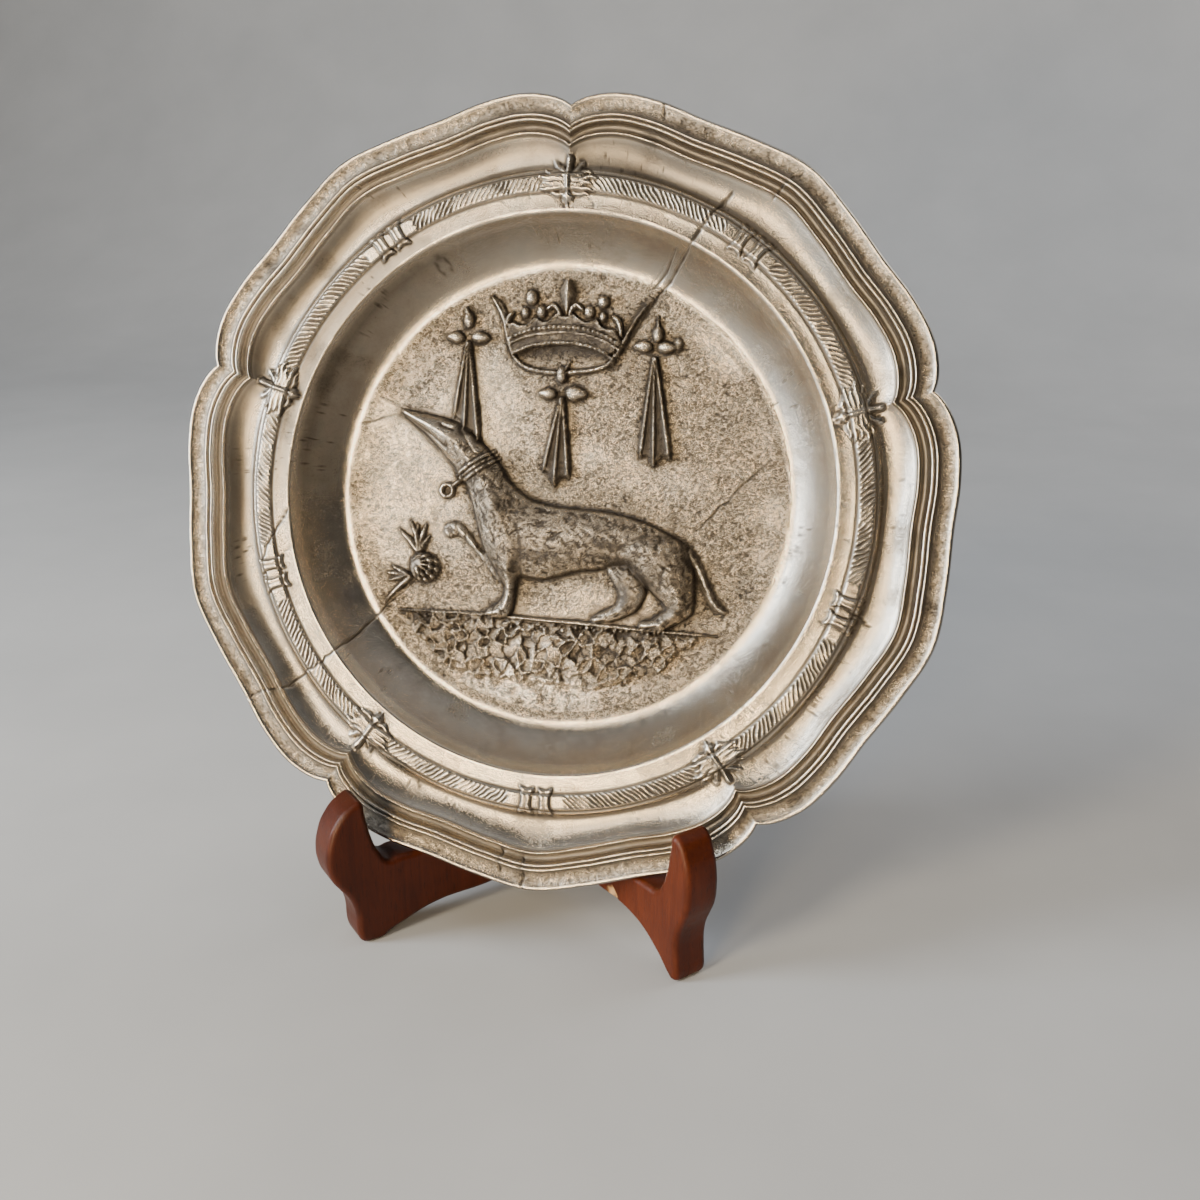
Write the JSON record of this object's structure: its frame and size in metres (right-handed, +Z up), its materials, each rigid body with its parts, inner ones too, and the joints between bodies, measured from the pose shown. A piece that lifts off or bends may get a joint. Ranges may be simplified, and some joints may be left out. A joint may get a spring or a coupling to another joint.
{
  "type": "pewter wall plate on a wooden plate stand",
  "caption": "Five-lobed cast pewter plate with a low relief of an ermine under a crown, leaning in a cradle of crossed wooden boards.",
  "frame": {"origin": "on the surface that the stand's feet rest on, under the middle of the whole object's box", "axes": "+Z up, the plate faces -Y and leans back 17 degrees, +X is to the viewer's right"},
  "size_m": [0.2286, 0.0917, 0.2385],
  "materials": {
    "pewter": "aged pewter, satin, dark patina in the hollows and bright worn ridges",
    "wood_left": "reddish-brown stained wood, satin varnish",
    "wood_right": "reddish-brown stained wood, satin varnish, one pale chip"
  },
  "bodies": {
    "root": {"plate": "pewter", "stand_board_left": "wood_left", "stand_board_right": "wood_right"}
  },
  "joints": []
}
